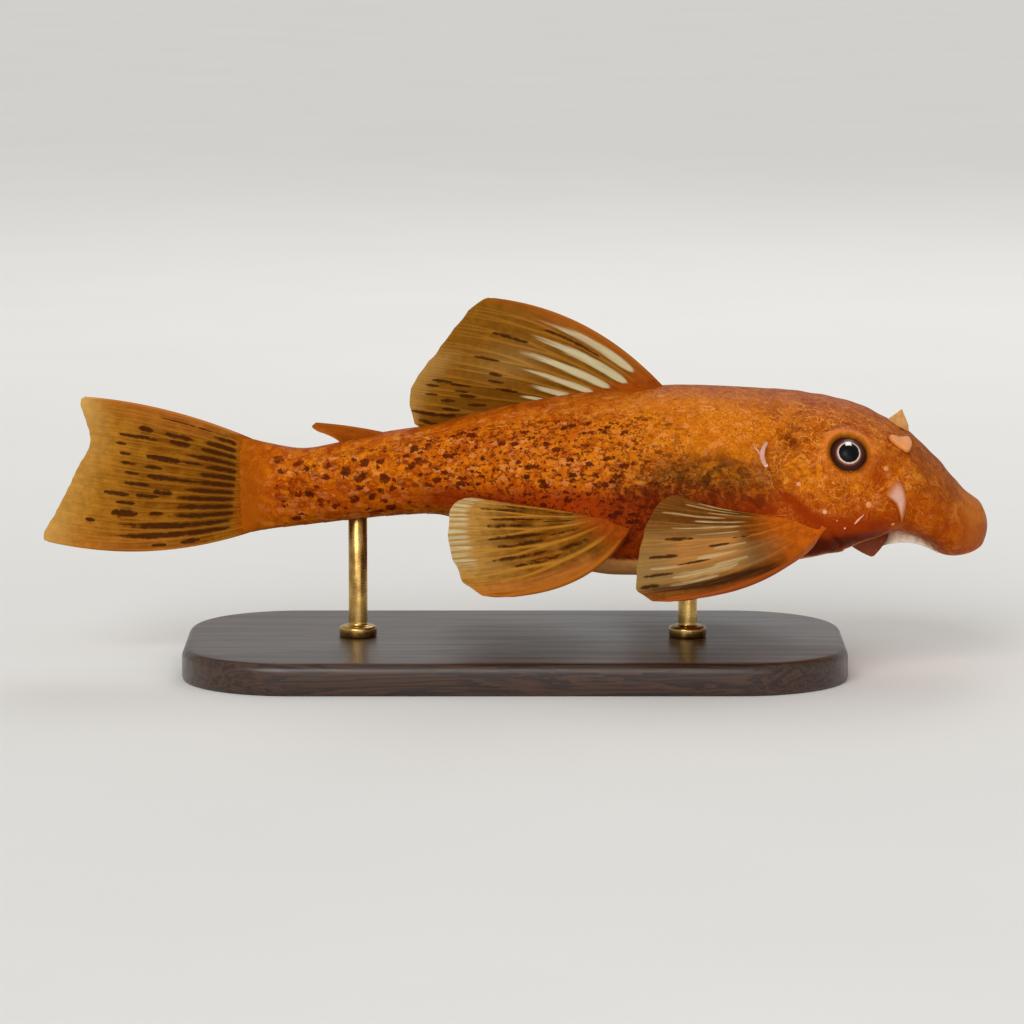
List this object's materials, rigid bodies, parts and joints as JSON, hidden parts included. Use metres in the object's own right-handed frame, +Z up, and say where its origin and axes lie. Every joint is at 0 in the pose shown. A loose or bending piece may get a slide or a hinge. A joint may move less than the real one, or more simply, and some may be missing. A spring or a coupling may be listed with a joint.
{
  "type": "bristlenose pleco model on a display stand",
  "caption": "Life-size bristlenose pleco, an armoured sucker-mouth catfish, swimming with fins spread on a plain low display stand.",
  "frame": {"origin": "middle of the underside of the stand's base, below the middle of the fish's length", "axes": "+X towards the fish's snout, +Y to the fish's left, +Z up"},
  "size_m": [0.1201, 0.0606, 0.0474],
  "materials": {
    "skin": "satin",
    "fin": "satin",
    "lip": "satin",
    "eye": "gloss",
    "stand_wood": "satin",
    "stand_metal": "satin"
  },
  "bodies": {
    "root": {"head": "skin", "trunk": "skin", "tail": "skin", "mouth": "lip", "eye_right": "eye", "eye_left": "eye", "dorsal_fin": "fin", "adipose_fin": "fin", "caudal_fin": "fin", "anal_fin": "fin", "pectoral_fin_right": "fin", "pectoral_fin_left": "fin", "pelvic_fin_right": "fin", "pelvic_fin_left": "fin", "stand_base": "stand_wood", "stand_rod_front": "stand_metal", "stand_rod_rear": "stand_metal"}
  },
  "joints": []
}
